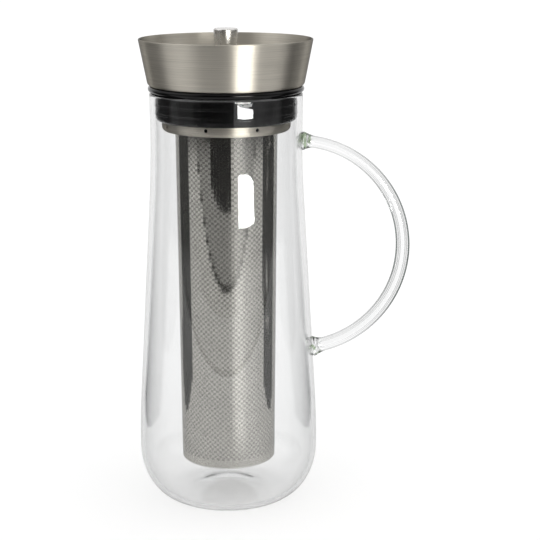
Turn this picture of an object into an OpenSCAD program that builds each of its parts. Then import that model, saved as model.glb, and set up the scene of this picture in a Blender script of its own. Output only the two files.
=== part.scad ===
// Cold brew carafe: a blown glass jug with a fused rod handle, a spun pouring funnel on a silicone
// seal, a lift-out stopper and a hanging filter. Sizes are in millimetres. The axis of the jug is Z,
// the handle points along +X and the jug stands on the plane z = 0.

/* [Glass jug] */
// Outer diameter of the glass at its belly
belly_d = 100; // [94:1:116]
// Outer diameter of the straight neck
neck_d = 82.8; // [78:0.2:90]
// Height of the glass rim above the table
glass_h = 228.6; // [205:0.2:260]
// Thickness of the glass wall
glass_wall = 2.4; // [1.6:0.1:3.4]
// Height of the belly, where the heel starts to turn in
heel_h = 29; // [22:1:36]
// Height at which the straight neck starts to widen
shoulder_z = 204; // [170:1:205]
// Outer diameter of the flat ring that the jug stands on
foot_d = 58; // [48:1:66]
// Width of that flat ring
foot_w = 4; // [2:0.5:8]
// Rise of the kick-up in the middle of the underside
punt_rise = 5.5; // [2:0.5:10]
// Thickness of the glass floor
floor_t = 2.5; // [2:0.25:6]

/* [Glass handle] */
// Height of the middle of the upper root
handle_top_z = 202; // [190:1:206]
// Height of the middle of the lower root
handle_low_z = 85; // [70:1:100]
// Distance from the axis of the jug to the outside of the handle
handle_reach = 100.8; // [92:0.2:118]
// Diameter of the glass rod
rod_d = 7.8; // [6:0.2:9]
// Diameter of the glass rod at the top, where it is drawn thinner
rod_top_d = 6.6; // [5:0.2:9]
// Diameter of the flared weld where the rod meets the wall
weld_d = 12.4; // [10:0.2:14]
// Length over which the rod flares into the weld
weld_len = 7; // [4:0.5:10]

/* [Pouring funnel] */
// Diameter of the funnel at its rim
rim_d = 93.8; // [88:0.2:104]
// Height of the funnel from its floor to its rim
funnel_h = 24.8; // [20:0.2:34]
// Thickness of the funnel sheet
funnel_t = 1; // [0.7:0.1:1.4]
// Amount by which the foot of the funnel stands out over the neck on each side
funnel_over = 0.7; // [0.2:0.1:2]
// Outer radius of the bend between funnel wall and floor
funnel_bend = 2.2; // [1.8:0.1:3.5]

/* [Throat collar] */
// Thickness of the collar sheet
collar_t = 0.8; // [0.6:0.1:1.2]
// Width of the collar flange on the funnel floor
collar_flange_w = 3; // [2:0.2:4]
// Width of the rolled lip that keeps the seal on the collar
collar_lip_w = 1; // [0.6:0.1:1.4]

/* [Neck seal] */
// Thickness of the seal flange between glass rim and funnel
flange_t = 3.4; // [2.6:0.1:5]
// Depth of the plug below the glass rim
plug_depth = 15; // [13:0.5:20]
// Thickness of the skirt outside the filter groove
skirt_t = 3.5; // [3:0.1:4.5]
// Thickness of the seal between collar and filter groove
inner_t = 2; // [1.6:0.1:2.6]
// Height of the sealing lips above the plug
lip_h = 0.4; // [0.4:0.1:1]
// Depth of the groove that grips the filter hanger
groove_depth = 8; // [6:0.5:10]
// Radius of the rounded lower edge of the plug
plug_round = 3.2; // [2:0.1:3.4]

/* [Filter] */
// Height of the hanger below the seal
hanger_h = 5.3; // [4.6:0.1:9]
// Thickness of the hanger sheet
hanger_t = 0.8; // [0.6:0.1:1]
// Outer radius of the bend at the bottom of the hanger
hanger_bend = 2.5; // [1.6:0.1:3]
// Number of pouring holes round the hanger
pour_holes = 8; // [3:1:12]
// Diameter of a pouring hole
pour_hole_d = 2.1; // [1.2:0.1:2.6]
// Distance of the pouring holes below the seal
pour_hole_drop = 1.7; // [1.4:0.1:2]
// Direction of one pouring hole, from +X towards +Y
pour_hole_turn = -61; // [-180:1:180]
// Diameter of the filter tube at its top
filter_top_d = 55.4; // [48:0.2:57]
// Diameter of the filter tube at its bottom
filter_low_d = 52.4; // [44:0.2:54]
// Thickness of the filter sheet
screen_t = 0.5; // [0.4:0.1:0.8]
// Width of the flared rim that hangs in the hanger
screen_flare_w = 2.2; // [1.5:0.1:2.6]
// Distance between the filter and the kick-up in the glass floor
filter_foot_gap = 14.5; // [6:0.5:40]
// Height of the plain band under the perforation
plain_band_h = 5; // [3:0.5:12]
// Thickness of the filter base
base_t = 0.8; // [0.6:0.1:1.2]

/* [Stopper] */
// Thickness of the stopper plate
plate_t = 1; // [0.7:0.1:1.4]
// Height of the turned-down edge below the plate
plate_edge_h = 0.9; // [0.5:0.1:1.1]
// Thickness of the gasket web
web_t = 1.4; // [1.2:0.1:2]
// Depth of the gasket plug in the throat
gasket_depth = 7.6; // [6.5:0.1:10]
// Thickness of the gasket plug wall
gasket_wall = 3; // [2:0.1:4]
// Thickness of the clamp disc under the gasket
clamp_t = 1; // [0.8:0.1:1.4]

/* [Knob] */
// Diameter of the knob at its top
knob_top_d = 13.2; // [11:0.2:16]
// Diameter of the knob at its foot
knob_foot_d = 10.8; // [9:0.2:12]
// Amount by which the knob stands above the funnel rim
knob_proud = 5.4; // [2:0.2:10]
// Radius of the rounded top edge of the knob
knob_round = 1; // [0.4:0.1:2]
// Diameter of the screw thread
screw_d = 5; // [3:0.5:6]
// Length of thread in the knob
screw_grip = 9; // [6:0.5:12]

/* [Clearances] */
// Gap between pieces that lift apart
seat_gap = 0.2; // [0.1:0.05:0.4]
// Gap between the sealing lips and the wall they seal on
lip_gap = 0.3; // [0.2:0.05:0.4]
// Gap between pieces that are fixed together
fit = 0.1; // [0.05:0.05:0.2]

/* [Hidden] */

$fn = 96;
arc_steps = 10;
side_steps = 24;
weld_steps = 4;
rod_steps = 30;
rod_sides = 20;

glass_colour = [0.86, 0.91, 0.90, 0.45];
steel_colour = [0.72, 0.73, 0.74];
bright_colour = [0.82, 0.83, 0.84];
seal_colour = [0.07, 0.07, 0.08];

// Glass
belly_r = belly_d / 2;
neck_r = neck_d / 2;
neck_in_r = neck_r - glass_wall;
foot_r = foot_d / 2;
foot_in_r = foot_r - foot_w;
side_ease = 0.18;

// Lid stack, from the glass rim upwards
flange_z = glass_h + seat_gap;
funnel_z = flange_z + flange_t;
collar_z = funnel_z + funnel_t;
web_z = collar_z + collar_t + seat_gap;
plate_z = web_z + web_t;
rim_z = funnel_z + funnel_h;
knob_top_z = rim_z + knob_proud;

// Lid radii, from the glass inwards
flange_r = neck_r + funnel_over;
lip_r = neck_in_r - lip_gap;
plug_r = lip_r - lip_h;
hanger_r = plug_r - skirt_t;
hanger_in_r = hanger_r - hanger_t;
collar_r = hanger_in_r - seat_gap - inner_t - fit;
collar_in_r = collar_r - collar_t;
rim_r = rim_d / 2;

// Filter stack, from the seal downwards
plug_z = glass_h - plug_depth;
hanger_z = plug_z - hanger_h;
hanger_top_z = plug_z + groove_depth - seat_gap;
screen_top_z = hanger_z + hanger_t + fit + screen_t;
filter_z = floor_t + punt_rise + filter_foot_gap;
screen_z = filter_z + base_t;
filter_top_r = filter_top_d / 2;
filter_low_r = filter_low_d / 2;

// Stopper
gasket_lip_r = collar_in_r - lip_gap;
gasket_r = gasket_lip_r - lip_h;
gasket_in_r = gasket_r - gasket_wall;
gasket_z = web_z + web_t - gasket_depth;
gasket_flange_r = collar_r + collar_flange_w - 2 * fit;
plate_r = gasket_flange_r + fit + plate_t;
clamp_z = web_z - clamp_t;
washer_r = 0.9 * screw_d;
washer_t = 0.18 * screw_d;
screw_head_r = 0.85 * screw_d;
screw_head_h = 0.5 * screw_d;
screw_hole_r = screw_d / 2 + fit;

// Points along an elliptic arc about a centre, from one angle to another
function arc(c, rx, rz, from, to, steps = arc_steps) =
    [for (i = [0:steps]) let (a = from + (to - from) * i / steps) [c[0] + rx * cos(a), c[1] + rz * sin(a)]];

// Share of the way from neck to belly: a straight taper with both ends eased
function eased(u) =
    u < side_ease ? u * u / (2 * side_ease * (1 - side_ease))
    : u > 1 - side_ease ? 1 - (1 - u) * (1 - u) / (2 * side_ease * (1 - side_ease))
    : (u - side_ease / 2) / (1 - side_ease);

// Outer radius of the glass between the belly and the neck
function side_r(z) =
    neck_r + (belly_r - neck_r) * eased(max(0, (shoulder_z - z) / (shoulder_z - heel_h)));

// Side of the glass from belly to shoulder, moved inwards by a distance
function side_line(inset) =
    [for (i = [1:side_steps]) let (z = heel_h + (shoulder_z - heel_h) * i / side_steps) [side_r(z) - inset, z]];

// Kick-up from the middle of the floor to the foot ring, lifted by a distance
function punt_line(lift) =
    [for (i = [0:arc_steps]) [foot_in_r * i / arc_steps, lift + punt_rise * (1 + cos(180 * i / arc_steps)) / 2]];

// Heel between the foot and the belly, drawn in by the wall and the floor
function heel_line(wall, bottom) =
    arc([foot_r, heel_h], belly_r - foot_r - wall, heel_h - bottom, -90, 0);

function reversed(list) = [for (i = [len(list) - 1:-1:0]) list[i]];

// A small rounded lip on an upright wall, from below to above its middle
function lip_line(r, z, h) = arc([r, z], h, 2 * h, -90, 90);

// Centre of a bend inside a corner between a flat floor and a wall that leans out
function bend_centre(r, z, lean, bend) = [r - bend * (1 - sin(lean)) / cos(lean), z + bend];

// Bent sheet: a floor from hole_r out to a wall that leans out and ends in a rounded edge
function cup_line(hole_r, foot_r, z, top_r, top_z, bend, t) =
    let (lean = atan((top_r - foot_r) / (top_z - z)))
    let (c = bend_centre(foot_r, z, lean, bend))
    let (edge = [top_r - t / 2 / cos(lean) - t / 2 * tan(lean), top_z - t / 2])
    concat([[hole_r, z]],
           arc(c, bend, bend, -90, -lean),
           arc(edge, t / 2, t / 2, -lean, 180 - lean),
           arc(c, bend - t, bend - t, -lean, -90),
           [[hole_r, z + t]]);

// Blown jug with an even wall, a kick-up in the floor and a fire-polished rim
module glass_body() {
    rim_c = [neck_r - glass_wall / 2, glass_h - glass_wall / 2];
    color(glass_colour)
        rotate_extrude()
            polygon(concat(punt_line(0),
                           heel_line(0, 0),
                           side_line(0),
                           arc(rim_c, glass_wall / 2, glass_wall / 2, 0, 180),
                           reversed(side_line(glass_wall)),
                           reversed(heel_line(glass_wall, floor_t)),
                           reversed(punt_line(floor_t))));
}

// Rod handle: one loft of rings from wall to wall, flared at both welds and drawn thinner at the top
module glass_handle() {
    ring_r = (handle_top_z - handle_low_z) / 2;
    ring_x = handle_reach - rod_d / 2 - ring_r;
    ring_z = (handle_top_z + handle_low_z) / 2;
    top_stub = max(0, ring_x - side_r(handle_top_z));
    low_stub = max(0, ring_x - side_r(handle_low_z));
    top_a = acos(max(0, (side_r(handle_top_z) - ring_x) / ring_r));
    low_a = -acos(max(0, (side_r(handle_low_z) - ring_x) / ring_r));

    // Radius of the rod at an angle round the ring
    function drawn_r(a) = (rod_d - (rod_d - rod_top_d) * max(0, sin(a))) / 2;
    function flare(s) = (weld_d - rod_d) / 2 * pow(max(0, 1 - s / weld_len), 2);
    function rod_r(a) =
        drawn_r(a) + flare(top_stub + ring_r * (top_a - a) * PI / 180)
        + flare(low_stub + ring_r * (a - low_a) * PI / 180);

    // A ring across the rod, and a ring laid on the glass wall round a root
    function rod_ring(a) =
        [for (k = [0:rod_sides - 1]) let (t = 360 * k / rod_sides, out = ring_r + rod_r(a) * cos(t))
            [ring_x + out * cos(a), rod_r(a) * sin(t), ring_z + out * sin(a)]];
    function wall_ring(a, r) =
        [for (k = [0:rod_sides - 1])
            let (t = 360 * k / rod_sides, y = r * sin(t), z = ring_z + (ring_r + r * cos(t)) * sin(a))
            [sqrt(pow(side_r(z) + fit, 2) - y * y), y, z]];

    // Angles of the rings, closer together where the rod flares
    weld_a = weld_len / ring_r * 180 / PI;
    angles = concat([for (i = [1:weld_steps]) top_a - weld_a * i / weld_steps],
                    [for (i = [1:rod_steps]) top_a - weld_a + (low_a - top_a + 2 * weld_a) * i / rod_steps],
                    [for (i = [1:weld_steps - 1]) low_a + weld_a * (1 - i / weld_steps)]);
    weld_r = weld_d / 2;
    rings = concat([wall_ring(top_a, weld_r / 2), wall_ring(top_a, weld_r)],
                   [for (a = angles) rod_ring(a)],
                   [wall_ring(low_a, weld_r), wall_ring(low_a, weld_r / 2)]);
    points = concat([for (ring = rings) each ring], [wall_ring(top_a, 0)[0], wall_ring(low_a, 0)[0]]);
    top_mid = len(rings) * rod_sides;
    low_mid = top_mid + 1;
    last = (len(rings) - 1) * rod_sides;
    sides = [for (i = [0:len(rings) - 2], k = [0:rod_sides - 1])
        let (p = i * rod_sides + k, q = i * rod_sides + (k + 1) % rod_sides)
        each [[p, q, p + rod_sides], [q, q + rod_sides, p + rod_sides]]];
    caps = [for (k = [0:rod_sides - 1]) let (n = (k + 1) % rod_sides)
        each [[top_mid, n, k], [low_mid, last + k, last + n]]];
    color(glass_colour)
        polyhedron(points, concat(sides, caps));
}

// Spun funnel with a flat floor and a round opening for the collar
module pour_funnel() {
    color(steel_colour)
        rotate_extrude()
            polygon(cup_line(collar_r + fit, flange_r, funnel_z, rim_r, rim_z, funnel_bend, funnel_t));
}

// Collar through funnel and seal: a flange above the floor and a rolled lip below the seal
module throat_collar() {
    lip_out = collar_r + collar_lip_w;
    flange_out = collar_r + collar_flange_w;
    color(bright_colour)
        rotate_extrude()
            polygon(concat([[collar_in_r, plug_z - collar_t], [collar_r, plug_z - collar_t]],
                           arc([lip_out - collar_t / 2, plug_z - collar_t / 2], collar_t / 2, collar_t / 2, -90, 90),
                           [[collar_r, plug_z], [collar_r, collar_z]],
                           arc([flange_out - collar_t / 2, collar_z + collar_t / 2], collar_t / 2, collar_t / 2, -90, 90),
                           [[collar_in_r, collar_z + collar_t]]));
}

// Silicone seal: a bead on the glass rim, a plug with two lips and a groove for the filter hanger
module neck_seal() {
    bead = flange_t / 2;
    upper_lip_z = plug_z + 0.62 * plug_depth;
    lower_lip_z = plug_z + 0.32 * plug_depth;
    groove_out_r = hanger_r + seat_gap;
    groove_in_r = hanger_in_r - seat_gap;
    color(seal_colour)
        rotate_extrude()
            polygon(concat([[collar_r + fit, plug_z], [groove_in_r, plug_z],
                            [groove_in_r, plug_z + groove_depth], [groove_out_r, plug_z + groove_depth],
                            [groove_out_r, plug_z]],
                           arc([plug_r - plug_round, plug_z + plug_round], plug_round, plug_round, -90, 0),
                           lip_line(plug_r, lower_lip_z, lip_h),
                           lip_line(plug_r, upper_lip_z, lip_h),
                           [[plug_r, flange_z]],
                           arc([flange_r - bead, flange_z + bead], bead, bead, -90, 90),
                           [[collar_r + fit, funnel_z]]));
}

// Drawn cup that hangs in the seal, carries the filter tube and lets the brew out through its holes
module filter_hanger() {
    hole_r = filter_top_r + fit;
    color(steel_colour)
        difference() {
            rotate_extrude()
                polygon(cup_line(hole_r, hanger_r, hanger_z, hanger_r, hanger_top_z, hanger_bend, hanger_t));
            for (i = [0:pour_holes - 1])
                rotate([0, 0, pour_hole_turn + 360 * i / pour_holes])
                    translate([hanger_in_r - hanger_t, 0, plug_z - pour_hole_drop])
                        rotate([0, 90, 0])
                            cylinder(h = 3 * hanger_t, d = pour_hole_d);
        }
}

// Tapered filter tube with a flared rim that rests on the hanger floor
module filter_screen() {
    flare_z = screen_top_z - screen_t;
    color(bright_colour)
        rotate_extrude()
            polygon([[filter_low_r - screen_t, screen_z], [filter_low_r, screen_z],
                     [filter_top_r, hanger_z], [filter_top_r, flare_z],
                     [filter_top_r + screen_flare_w, flare_z],
                     [filter_top_r + screen_flare_w, screen_top_z],
                     [filter_top_r - screen_t, screen_top_z], [filter_top_r - screen_t, hanger_z]]);
}

// Base of the filter: a floor with a rounded edge and a spigot inside the tube
module filter_base() {
    spigot_r = filter_low_r - screen_t - fit;
    spigot_in_r = spigot_r - base_t;
    edge = base_t / 2;
    color(bright_colour)
        rotate_extrude()
            polygon(concat([[0, filter_z]],
                           arc([filter_low_r - edge, filter_z + edge], edge, edge, -90, 0),
                           [[filter_low_r, screen_z], [spigot_r, screen_z], [spigot_r, screen_z + plain_band_h],
                            [spigot_in_r, screen_z + plain_band_h], [spigot_in_r, screen_z], [0, screen_z]]));
}

// Pressed plate with a turned-down edge that covers the gasket
module stopper_plate() {
    color(steel_colour)
        rotate_extrude()
            polygon(concat([[screw_hole_r, plate_z], [plate_r - plate_t, plate_z],
                            [plate_r - plate_t, plate_z - plate_edge_h], [plate_r, plate_z - plate_edge_h]],
                           arc([plate_r - plate_t, plate_z], plate_t, plate_t, 0, 90),
                           [[screw_hole_r, plate_z + plate_t]]));
}

// Silicone gasket: a web under the plate and a hollow plug with two lips in the collar
module stopper_gasket() {
    gasket_round = gasket_wall / 3;
    upper_lip_z = gasket_z + 0.62 * (web_z - gasket_z);
    lower_lip_z = gasket_z + 0.3 * (web_z - gasket_z);
    color(seal_colour)
        rotate_extrude()
            polygon(concat([[screw_hole_r, web_z], [gasket_in_r, web_z], [gasket_in_r, gasket_z]],
                           arc([gasket_r - gasket_round, gasket_z + gasket_round], gasket_round, gasket_round, -90, 0),
                           lip_line(gasket_r, lower_lip_z, lip_h / 2),
                           lip_line(gasket_r, upper_lip_z, lip_h / 2),
                           [[gasket_r, web_z], [gasket_flange_r, web_z], [gasket_flange_r, plate_z],
                            [screw_hole_r, plate_z]]));
}

// Disc that clamps the gasket web against the plate
module clamp_disc() {
    color(steel_colour)
        translate([0, 0, clamp_z])
            difference() {
                cylinder(h = clamp_t, r = gasket_in_r - lip_gap);
                translate([0, 0, -clamp_t])
                    cylinder(h = 3 * clamp_t, r = screw_hole_r);
            }
}

// Flat washer under the screw head
module knob_washer() {
    color(bright_colour)
        translate([0, 0, clamp_z - washer_t])
            difference() {
                cylinder(h = washer_t, r = washer_r);
                translate([0, 0, -washer_t])
                    cylinder(h = 3 * washer_t, r = screw_hole_r);
            }
}

// Pan head screw from below, through the stack and into the knob
module knob_screw() {
    head_z = clamp_z - washer_t - screw_head_h;
    shank_top_z = plate_z + plate_t + screw_grip;
    drive_r = 0.5 * screw_d / 2;
    color(bright_colour)
        difference() {
            union() {
                rotate_extrude()
                    polygon(concat([[0, head_z]],
                                   arc([screw_head_r - screw_head_h / 2, head_z + screw_head_h / 2],
                                       screw_head_h / 2, screw_head_h / 2, -90, 0),
                                   [[screw_head_r, head_z + screw_head_h], [0, head_z + screw_head_h]]));
                translate([0, 0, head_z + screw_head_h / 2])
                    cylinder(h = shank_top_z - head_z - screw_head_h / 2, d = screw_d);
            }
            translate([0, 0, head_z - screw_head_h / 2])
                cylinder(h = screw_head_h, r = drive_r, $fn = 6);
        }
}

// Turned knob that widens towards its rounded top, with a blind hole for the screw
module stopper_knob() {
    foot_z = plate_z + plate_t;
    top_r = knob_top_d / 2;
    hole_h = screw_grip + screw_d / 2;
    color(bright_colour)
        difference() {
            rotate_extrude()
                polygon(concat([[0, foot_z], [knob_foot_d / 2, foot_z]],
                               arc([top_r - knob_round, knob_top_z - knob_round], knob_round, knob_round, 0, 90),
                               [[0, knob_top_z]]));
            translate([0, 0, foot_z - hole_h])
                cylinder(h = 2 * hole_h, r = screw_hole_r);
        }
}

glass_body();
glass_handle();
pour_funnel();
throat_collar();
neck_seal();
filter_hanger();
filter_screen();
filter_base();
stopper_plate();
stopper_gasket();
clamp_disc();
knob_washer();
knob_screw();
stopper_knob();
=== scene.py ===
# %% [markdown]
# # A cold brew carafe in Blender
# The carafe is a blown glass jug with a rod handle, a brushed steel funnel on a black silicone
# seal, and a long filter that hangs inside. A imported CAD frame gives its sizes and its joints.
# This lesson puts smooth, finished pieces over that frame, one piece at a time: each starts as a
# simple mesh, is shaped in edit mode, gets a material, and rides on the body that moves it.

# %% Load the frame
import math

import bpy
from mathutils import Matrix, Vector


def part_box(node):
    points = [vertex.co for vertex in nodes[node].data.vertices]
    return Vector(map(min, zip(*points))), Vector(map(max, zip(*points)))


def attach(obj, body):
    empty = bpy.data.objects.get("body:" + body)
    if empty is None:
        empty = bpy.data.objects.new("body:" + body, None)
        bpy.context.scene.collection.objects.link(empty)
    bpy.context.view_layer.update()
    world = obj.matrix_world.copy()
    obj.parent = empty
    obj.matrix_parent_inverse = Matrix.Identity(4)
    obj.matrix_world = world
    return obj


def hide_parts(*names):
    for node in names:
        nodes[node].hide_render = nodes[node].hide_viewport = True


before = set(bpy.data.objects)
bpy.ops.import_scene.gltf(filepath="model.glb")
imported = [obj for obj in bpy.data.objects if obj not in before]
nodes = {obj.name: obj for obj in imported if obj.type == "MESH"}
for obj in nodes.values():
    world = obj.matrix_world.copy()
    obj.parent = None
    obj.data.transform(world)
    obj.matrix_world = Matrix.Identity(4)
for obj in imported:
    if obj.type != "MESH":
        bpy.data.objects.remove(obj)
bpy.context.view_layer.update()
MM = 0.001

# %% [markdown]
# ## The camera
# The camera stands a little above the rim and a little to the right of the axis, and looks down by
# about 14 degrees. A long lens keeps the sides of the jug nearly upright. The camera comes first,
# because every later choice is judged through it.

# %% Camera
CAMERA_PLACE = (0.0236, -0.7549, 0.313)
CAMERA_DROP = math.radians(13.65)
bpy.ops.object.camera_add(location=CAMERA_PLACE, rotation=(math.pi / 2 - CAMERA_DROP, 0, 0))
camera = bpy.context.object
camera.data.sensor_width = 36
camera.data.lens = 93.3
bpy.context.scene.camera = camera
print("camera with a lens of", round(camera.data.lens, 1), "mm at", CAMERA_PLACE)

# %% [markdown]
# ## Turning on a lathe
# Nearly every piece is round about the axis of the jug, as spun sheet and blown glass are. So one
# helper does what a lathe does. It starts with a plane that is merged to a single point, extrudes
# this point along the outline of half a cross-section, and spins the outline round the Z axis.
# A Screw modifier could turn it too, but the spin leaves a mesh that can be cleaned at once: points
# that meet are merged, and then the normals are made to face outwards.

# %% Lathe helper
ROUND_STEPS = 128
TOUCHING = 0.002 * MM


def turned(name, outline, steps=ROUND_STEPS):
    bpy.ops.object.select_all(action="DESELECT")
    bpy.ops.mesh.primitive_plane_add(size=MM)
    piece = bpy.context.object
    piece.name = piece.data.name = name
    bpy.ops.object.mode_set(mode="EDIT")
    bpy.ops.mesh.select_mode(type="VERT")
    bpy.ops.mesh.select_all(action="SELECT")
    bpy.ops.mesh.merge(type="CENTER")
    bpy.ops.transform.translate(value=(outline[0][0] * MM, 0, outline[0][1] * MM))
    for (r0, z0), (r1, z1) in zip(outline, outline[1:]):
        stroke = {"value": ((r1 - r0) * MM, 0, (z1 - z0) * MM)}
        bpy.ops.mesh.extrude_region_move(TRANSFORM_OT_translate=stroke)
    bpy.ops.mesh.select_all(action="SELECT")
    bpy.ops.mesh.spin(steps=steps, angle=math.tau, center=(0, 0, 0), axis=(0, 0, 1))
    bpy.ops.mesh.select_all(action="SELECT")
    bpy.ops.mesh.remove_doubles(threshold=TOUCHING)
    bpy.ops.mesh.delete_loose()
    bpy.ops.mesh.select_all(action="SELECT")
    bpy.ops.mesh.normals_make_consistent(inside=False)
    bpy.ops.object.mode_set(mode="OBJECT")
    print(name, "turned from", len(outline), "points")
    return piece


# %% [markdown]
# Outlines are lists of (radius, height) in millimetres, drawn anticlockwise. Rounded corners are
# short arcs, so an arc helper is all that they need. The other helpers finish a piece: one rounds
# a mesh with a level of subdivision, one smooths its shading and prints its size, and one says
# which body it rides on and which CAD node it stands for.

# %% Arc and finishing helpers
def arc(centre, rx, rz, start, end, steps=12):
    turns = [math.radians(start + (end - start) * i / steps) for i in range(steps + 1)]
    return [(centre[0] + rx * math.cos(a), centre[1] + rz * math.sin(a)) for a in turns]


def subdivide(piece):
    bpy.ops.object.modifier_add(type="SUBSURF")
    piece.modifiers["Subdivision"].levels = 1
    piece.modifiers["Subdivision"].render_levels = 1
    bpy.ops.object.modifier_apply(modifier="Subdivision")


def smooth(piece, angle=None):
    bpy.ops.object.select_all(action="DESELECT")
    piece.select_set(True)
    bpy.context.view_layer.objects.active = piece
    if angle is None:
        bpy.ops.object.shade_smooth()
    else:
        bpy.ops.object.shade_smooth_by_angle(angle=math.radians(angle))
    size = [round(s / MM, 2) for s in piece.dimensions]
    print(piece.name, len(piece.data.polygons), "faces, mm:", size)
    return piece


def stand_for(piece, node, body):
    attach(piece, body)
    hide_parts(node)


# %% [markdown]
# ## The glass jug
# Blown glass has an even wall and no sharp edge. The outline runs from the kick-up under the floor
# out to the foot ring, round the heel, up the side to the fire-polished rim, and back down inside.
# The side is a straight taper with both ends eased, so that no crease shows between neck and belly.
# A real neck is never quite straight. This one opens by a hair towards its rim, which is enough to
# bend the bright reflection on it.

# %% Sizes of the glass
_, glass_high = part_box("glass_body")
belly_r = glass_high.x / MM
glass_h = glass_high.z / MM
neck_r = 41.4
wall = 2.4
heel_h = 29
shoulder_z = 204
side_top = glass_h - 4
foot_r = 29
foot_in_r = 25
punt_rise = 5.5
floor_t = 2.5
EASE = 0.18
NECK_DIP = 0.14
DIP_FROM_Z = 222
DIP_OVER = 16


def eased(u):
    if u < EASE:
        return u * u / (2 * EASE * (1 - EASE))
    if u > 1 - EASE:
        return 1 - (1 - u) ** 2 / (2 * EASE * (1 - EASE))
    return (u - EASE / 2) / (1 - EASE)


def side_r(z):
    share = eased(max(0, (shoulder_z - z) / (shoulder_z - heel_h)))
    below_rim = min(1, max(0, (DIP_FROM_Z - z) / DIP_OVER))
    dip = NECK_DIP * below_rim * below_rim * (3 - 2 * below_rim)
    return neck_r - dip + (belly_r - neck_r + dip) * share


print("radius of the jug halfway up:", round(side_r(glass_h / 2), 2), "mm")

# %% Outline of the glass
def side_line(inset, steps=44):
    heights = [heel_h + (side_top - heel_h) * i / steps for i in range(1, steps + 1)]
    return [(side_r(z) - inset, z) for z in heights]


def punt_line(lift, steps=12):
    line = []
    for i in range(steps + 1):
        rise = punt_rise * (1 + math.cos(math.pi * i / steps)) / 2
        line.append((foot_in_r * i / steps, lift + rise))
    return line


heel_out = arc((foot_r, heel_h), belly_r - foot_r, heel_h, -90, 0)
heel_in = arc((foot_r, heel_h), belly_r - foot_r - wall, heel_h - floor_t, -90, 0)
rim = arc((neck_r - wall / 2, glass_h - wall / 2), wall / 2, wall / 2, 0, 180)
glass_outline = punt_line(0) + heel_out + side_line(0) + rim
glass_outline += side_line(wall)[::-1] + heel_in[::-1] + punt_line(floor_t)[::-1]
print("outline of the glass:", len(glass_outline), "points")

# %% [markdown]
# The turned jug is then smoothed with one level of subdivision. Refraction shows every facet, so
# glass needs a finer mesh than steel.

# %% Turn the jug
jug = turned("jug_glass", glass_outline, steps=96)
subdivide(jug)
smooth(jug)
stand_for(jug, "glass_body", "carafe")

# %% [markdown]
# ## The handle
# The handle is a glass rod bent to half a ring and melted onto the wall. A curve with a round bevel
# could draw it, but a spun mesh lets every ring of points be changed by hand later. A circle in edit
# mode is the rod's cross-section. It is laid across the rod at the lower root, and a spin about the
# middle of the ring bends the rod up to the upper root.

# %% Sizes of the handle
ring_r = 58.5
ring_x = 38.4
ring_z = 143.5
rod_r = 3.9
rod_top_r = 3.3
weld_r = 6.2
weld_len = 7
sunk = 0.5
ring_middle = (ring_x * MM, 0, ring_z * MM)
top_turn = math.acos((side_r(ring_z + ring_r) - ring_x) / ring_r)
low_turn = math.acos((side_r(ring_z - ring_r) - ring_x) / ring_r)
print("half ring of", round(math.degrees(top_turn + low_turn), 1), "degrees")

# %% Bend the rod
ROD_SIDES = 24
ROD_STEPS = 168
bpy.ops.object.select_all(action="DESELECT")
bpy.ops.mesh.primitive_plane_add(size=MM)
handle = bpy.context.object
handle.name = handle.data.name = "handle_glass"
bpy.ops.object.mode_set(mode="EDIT")
bpy.ops.mesh.select_mode(type="VERT")
bpy.ops.mesh.delete(type="VERT")
root_x = ring_middle[0] + ring_r * MM * math.cos(low_turn)
root_z = ring_middle[2] - ring_r * MM * math.sin(low_turn)
bpy.ops.mesh.primitive_circle_add(
    vertices=ROD_SIDES, radius=rod_r * MM, location=(root_x, 0, root_z), rotation=(0, low_turn, 0)
)
bpy.ops.mesh.spin(steps=ROD_STEPS, angle=top_turn + low_turn, center=ring_middle, axis=(0, 1, 0))
bpy.ops.mesh.select_all(action="SELECT")
bpy.ops.mesh.remove_doubles(threshold=0.01 * MM)
bpy.ops.mesh.fill_holes(sides=0)
bpy.ops.mesh.select_all(action="SELECT")
bpy.ops.mesh.normals_make_consistent(inside=False)
bpy.ops.object.mode_set(mode="OBJECT")
turns = [math.atan2(v.co.z - ring_middle[2], v.co.x - ring_middle[0]) for v in handle.data.vertices]
ends = [round(math.degrees(turn), 2) for turn in (min(turns), max(turns))]
print("rod runs from", ends[0], "to", ends[1], "degrees")

# %% [markdown]
# A drawn rod isn't even: it is thinner at the top, and it flares where it was melted onto the wall.
# Each ring of points is scaled about the middle of the rod by the radius wanted at its angle. The
# two end rings sink half a millimetre into the wall, as fused glass does. An attribute keeps how
# near each point is to a weld, because the rod's material needs it.

# %% Draw the rod and flare its welds
END_RING = 0.001


def turn_to_wall(turn):
    return min(top_turn - turn, low_turn + turn)


def weld_share(turn):
    return max(0, 1 - ring_r * turn_to_wall(turn) / weld_len)


def rod_radius(turn):
    drawn = rod_r - (rod_r - rod_top_r) * max(0, math.sin(turn))
    return drawn + (weld_r - rod_r) * weld_share(turn) ** 2


welded = handle.data.attributes.new("welded", "FLOAT", "POINT")
for vertex in handle.data.vertices:
    x, y, z = (c / MM for c in vertex.co)
    turn = math.atan2(z - ring_z, x - ring_x)
    welded.data[vertex.index].value = weld_share(turn)
    out = math.hypot(x - ring_x, z - ring_z) - ring_r
    grown = rod_radius(turn) / rod_r
    y, reach = y * grown, ring_r + out * grown
    x, z = ring_x + reach * math.cos(turn), ring_z + reach * math.sin(turn)
    if turn_to_wall(turn) < END_RING:
        x = math.sqrt((side_r(z) - sunk) ** 2 - y * y)
    vertex.co = (x * MM, y * MM, z * MM)
print("rod radius in the middle:", round(rod_radius(0), 2), "mm, at its top:", rod_top_r, "mm")

# %% Smooth the handle
subdivide(handle)
smooth(handle)
stand_for(handle, "glass_handle", "carafe")

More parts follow.
